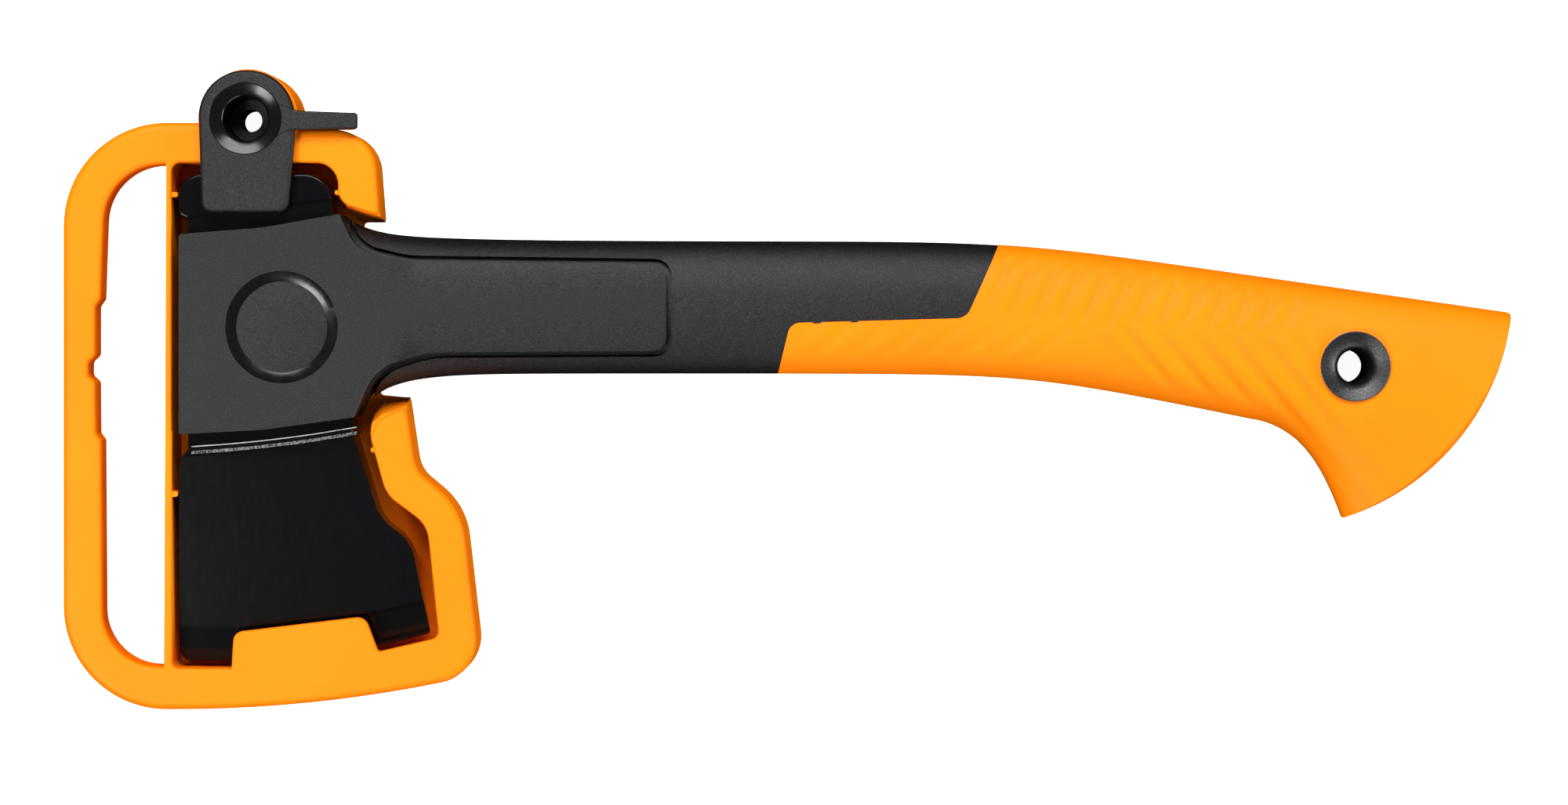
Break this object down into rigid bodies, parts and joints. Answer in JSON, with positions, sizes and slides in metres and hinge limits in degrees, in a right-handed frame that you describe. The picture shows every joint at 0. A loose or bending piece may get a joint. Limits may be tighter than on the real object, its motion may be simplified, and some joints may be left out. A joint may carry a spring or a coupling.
{
  "type": "hand axe in a blade guard",
  "caption": "Short one-handed chopping axe held in a blade guard with a carry handle, locked over the poll by a turning latch; a hanging hole goes through the grip.",
  "frame": {"origin": "centre of the footprint, on the flat back of the guard", "axes": "+X along the handle from head to butt, +Y from cutting edge to poll, +Z out of the front face"},
  "size_m": [0.3863, 0.1706, 0.0274],
  "materials": {
    "axe_head": "forged steel, dark non-stick coating",
    "handle_core": "fine-grained glass-fibre nylon",
    "soft_grip": "soft matt overmould",
    "hang_hole_bush": "smooth moulded",
    "guard_body": "fine matt moulded",
    "guard_back_panel": "fine matt moulded",
    "latch": "fine-grained, glossy dish",
    "latch_washer": "smooth moulded",
    "latch_retainer": "smooth moulded"
  },
  "bodies": {
    "axe_in_guard": {"axe_head": "axe_head", "handle_core": "handle_core", "soft_grip": "soft_grip", "hang_hole_bush": "hang_hole_bush", "guard_body": "guard_body", "guard_back_panel": "guard_back_panel", "latch_washer": "latch_washer"},
    "latch_group": {"latch": "latch", "latch_retainer": "latch_retainer"}
  },
  "joints": [
    {"name": "latch_turn", "type": "hinge", "parent": "axe_in_guard", "child": "latch_group", "pos_m": [-0.14415, 0.072, 0.023], "axis": [0, 0, 1], "range_deg": [0, 110]}
  ]
}
